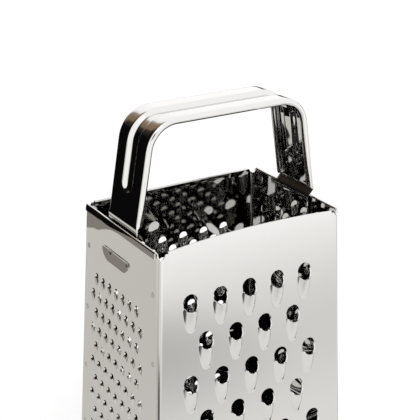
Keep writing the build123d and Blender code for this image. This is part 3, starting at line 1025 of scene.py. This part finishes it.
def flag(name, colour, centre, half_u, half_v, faded=False):
    """A card that only mirror rays see, with one even colour; a faded one is oval and soft."""
    material, tree = new_material(name + "_card")
    surface = add_node(tree, "ShaderNodeEmission", {"Color": linear(colour), "Strength": MIRROR_LIGHT})
    if faded:
        place = add_node(tree, "ShaderNodeTexCoord").outputs["Object"]
        size = Vector(half_u) + Vector(half_v) + Vector((0, 0, 1))
        from_middle = add_node(tree, "ShaderNodeVectorMath", {0: place, 1: centre}, operation="SUBTRACT")
        shares = add_node(tree, "ShaderNodeVectorMath", {
            0: from_middle.outputs[0], 1: size,
        }, operation="DIVIDE")
        reach = add_node(tree, "ShaderNodeVectorMath", {0: shares.outputs[0]}, operation="LENGTH")
        clear = share_of(tree, reach.outputs["Value"], 0.35, 1.0, interpolation_type="SMOOTHSTEP")
        glass = add_node(tree, "ShaderNodeBsdfTransparent")
        surface = add_node(tree, "ShaderNodeMixShader", {
            0: clear, 1: surface.outputs[0], 2: glass.outputs[0],
        })
    add_node(tree, "ShaderNodeOutputMaterial", {"Surface": surface.outputs[0]})
    card = stage_plane(name, centre, half_u, half_v, material)
    card.visible_camera = card.visible_diffuse = card.visible_shadow = False


def seen_directly(tree):
    """1 for camera, mirror and glass rays, 0 for the rays that carry light."""
    path_of_light = add_node(tree, "ShaderNodeLightPath").outputs
    either = math_node(tree, "MAXIMUM", path_of_light["Is Camera Ray"], path_of_light["Is Glossy Ray"])
    return math_node(tree, "MAXIMUM", either, path_of_light["Is Transmission Ray"])


def ramp(tree, value, stops):
    """A colour ramp through (place, hex colour) stops."""
    node = add_node(tree, "ShaderNodeValToRGB", {0: value})
    band = node.color_ramp
    band.interpolation = "B_SPLINE"
    while len(band.elements) < len(stops):
        band.elements.new(1.0)
    for element, (place, colour) in zip(band.elements, stops):
        element.position = place
        element.color = linear(colour)
    return node.outputs[0]


# %% A white table, with a painted reflection for mirror rays, brighter far in front of the grater than behind it
TABLE_DROP = 0.0003
# Centre of a darker spot in the table's painted reflection: painted shade that only mirror rays see.
PAINTED_SHADE_SPOT = (0.07, -0.28, 0.0)
table_and_painted_reflection, tree = new_material("matt_white_table")
place = add_node(tree, "ShaderNodeTexCoord").outputs["Object"]
from_back = add_node(tree, "ShaderNodeSeparateXYZ", {0: place}).outputs["Y"]
bright = ramp(tree, share_of(tree, from_back, 0.5, -0.5), [
    (0.0, "#C9C6C2"), (0.25, "#C6C3BE"), (0.45, "#C4C2BE"), (0.62, "#EEEEED"), (0.70, "#D6D6D5"),
    (0.80, "#DADAD9"), (0.93, "#FFFFFF"),
])
# Away from the grater, mirror rays see the table glow as a painted reflection; the camera and lamps see
# plain white paint.
direct = add_node(tree, "ShaderNodeLightPath").outputs["Is Glossy Ray"]
reach = add_node(tree, "ShaderNodeVectorMath", {0: place}, operation="LENGTH").outputs["Value"]
share = math_node(tree, "MULTIPLY", share_of(tree, reach, 0.07, 0.12), direct)
paint = add_node(tree, "ShaderNodeBsdfDiffuse", {"Color": linear("#FAFAFA")})
spot = add_node(tree, "ShaderNodeVectorMath", {0: place, 1: PAINTED_SHADE_SPOT}, operation="DISTANCE")
painted_shade_strength = add_node(tree, "ShaderNodeMapRange", {
    "Value": spot.outputs["Value"], "From Min": 0.0, "From Max": 0.13,
    "To Min": 0.74 * MIRROR_LIGHT, "To Max": MIRROR_LIGHT,
}, interpolation_type="SMOOTHSTEP")
painted_reflection_glow = add_node(tree, "ShaderNodeEmission", {"Color": bright, "Strength": painted_shade_strength.outputs[0]})
mix = add_node(tree, "ShaderNodeMixShader", {0: share, 1: paint.outputs[0], 2: painted_reflection_glow.outputs[0]})
add_node(tree, "ShaderNodeOutputMaterial", {"Surface": mix.outputs[0]})
stage_plane("table", (0, 0, -TABLE_DROP), (6, 0, 0), (0, 6, 0), table_and_painted_reflection)

# A black sheet under the open base: painted shade that keeps the grater's inside dark.
shade_sheet, tree = new_material("black_felt")
shade_surface = add_node(tree, "ShaderNodeBsdfDiffuse", {"Color": linear("#121212")})
add_node(tree, "ShaderNodeOutputMaterial", {"Surface": shade_surface.outputs[0]})
stage_plane("felt_under_base", (0, 0, -TABLE_DROP / 3), (0.052, 0, 0), (0, 0.039, 0), shade_sheet)

# %% [markdown]
# A wall stands behind on the left: grey-brown below, which the dent and the leaning rim show,
# and black above, which the handle's left leg shows. Cards lie on the table on three sides,
# and one stands where the photographer would be.

# %% Flags that shape the reflections
WALL_DISTANCE = 0.472
WALL_HALF = 0.35
LOW_WALL_HALF = 0.029
HIGH_WALL_HALF = 0.142
back_left, beside = Vector((-0.61, 0.79, 0)), Vector((0.79, 0.61, 0))
up = Vector((0, 0, 1))
low_wall = back_left * WALL_DISTANCE + up * LOW_WALL_HALF
high_wall = low_wall + up * (LOW_WALL_HALF + HIGH_WALL_HALF)
flag("low_wall", "#84807A", low_wall, beside * WALL_HALF, up * LOW_WALL_HALF)
flag("high_wall", "#0A0A0A", high_wall, beside * WALL_HALF, up * HIGH_WALL_HALF)
slant_u, slant_v = Vector((0.9, 0.44, 0)), Vector((-0.44, 0.9, 0))
flag("card_behind", "#0A0A0A", (-0.06, 0.30, 0.0005), slant_u * 0.07, slant_v * 0.13)
flag("card_left", "#4E4D4B", (-0.24, -0.05, 0.0005), (0.11, 0, 0), (0, 0.17, 0), faded=True)
flag("card_camera", "#101010", (-0.29, -0.445, 0.43), (0.10, -0.065, 0), (0.03, 0.05, 0.075))
flag("card_right", "#2A2928", (0.17, 0.04, 0.0005), (0.07, 0, 0), (0, 0.11, 0), faded=True)

# %% The room: white, but dark behind on the left for mirror rays
world = bpy.data.worlds.new("white_room")
bpy.context.scene.world = world
world.use_nodes = True
tree = world.node_tree
tree.nodes.clear()
way = add_node(tree, "ShaderNodeTexCoord").outputs["Generated"]
split = add_node(tree, "ShaderNodeSeparateXYZ", {0: way}).outputs
behind = share_of(tree, split["Y"], 0.0, 0.15)
upward = share_of(tree, split["Z"], 0.10, 0.16)
overhead = ramp(tree, share_of(tree, split["X"], -0.6, 0.2), [
    (0.0, "#101010"), (0.28, "#141413"), (0.36, "#8A745F"), (0.66, "#7E6C5A"), (0.76, "#FFFFFF"),
])
seen = add_node(tree, "ShaderNodeMix", {
    "Factor": upward, "A": linear("#2C2723"), "B": overhead,
}, data_type="RGBA").outputs["Result"]
mirrored = add_node(tree, "ShaderNodeLightPath").outputs["Is Glossy Ray"]
part = math_node(tree, "MULTIPLY", behind, mirrored)
tint = add_node(tree, "ShaderNodeMix", {
    "Factor": part, "A": (1.0, 1.0, 1.0, 1.0), "B": seen,
}, data_type="RGBA")
gain = add_node(tree, "ShaderNodeMapRange", {"Value": mirrored, "To Min": 1.0, "To Max": MIRROR_LIGHT})
room = add_node(tree, "ShaderNodeBackground", {"Color": (1.0, 1.0, 1.0, 1.0), "Strength": 1.06})
shown = add_node(tree, "ShaderNodeBackground", {
    "Color": tint.outputs["Result"], "Strength": gain.outputs[0],
})
mix = add_node(tree, "ShaderNodeMixShader", {
    0: seen_directly(tree), 1: room.outputs[0], 2: shown.outputs[0],
})
add_node(tree, "ShaderNodeOutputWorld", {"Surface": mix.outputs[0]})


def soft_light(name, place, aim, size, watts):
    """A square lamp at a place, turned to what it lights."""
    lamp = bpy.data.lights.new(name, "AREA")
    lamp.shape = "SQUARE"
    lamp.size = size
    lamp.energy = watts
    light = new_object(name, lamp)
    turned = (Vector(place) - Vector(aim)).to_track_quat("Z", "Y").to_matrix().to_4x4()
    light.matrix_world = Matrix.Translation(place) @ turned


soft_light("key_softbox", (-0.5, -0.9, 1.4), (0, 0, 0.12), 0.7, 3.0)

# %% The camera, from the perspective of the photograph
PICTURE_PIXELS = 420
FOCAL_PIXELS = 1000
SENSOR_WIDTH = 36.0
CAMERA_PLACE = (-0.229707, -0.353401, 0.345410)
azimuth, elevation, roll = (math.radians(a) for a in (-32.925, 22.272, 0.651))
ahead = Vector((
    math.sin(-azimuth) * math.cos(elevation),
    math.cos(azimuth) * math.cos(elevation),
    -math.sin(elevation),
))
across = ahead.cross(Vector((0, 0, 1))).normalized()
above = across.cross(ahead)
across, above = (
    across * math.cos(roll) + above * math.sin(roll),
    above * math.cos(roll) - across * math.sin(roll),
)
lens = bpy.data.cameras.new("camera")
lens.sensor_width = SENSOR_WIDTH
lens.lens = SENSOR_WIDTH * FOCAL_PIXELS / PICTURE_PIXELS
lens.clip_start = 0.01
camera = new_object("camera", lens)
turned = Matrix((across, above, -ahead)).transposed().to_4x4()
camera.matrix_world = Matrix.Translation(CAMERA_PLACE) @ turned
bpy.context.scene.camera = camera
bpy.context.scene.view_settings.view_transform = "Standard"

# %% [markdown]
# ## The two boxes
# The dressed grater is meant to fit the solid model's box, so both boxes are printed: the model's at the
# start, the dressed grater's here.

# %% Both boxes, and the end
low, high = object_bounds()
sizes = {"cad": [list(cad_low), list(cad_high)], "visual": [list(low), list(high)]}
print("visual box in mm:", [round(v / MM, 1) for v in (*low, *high)])
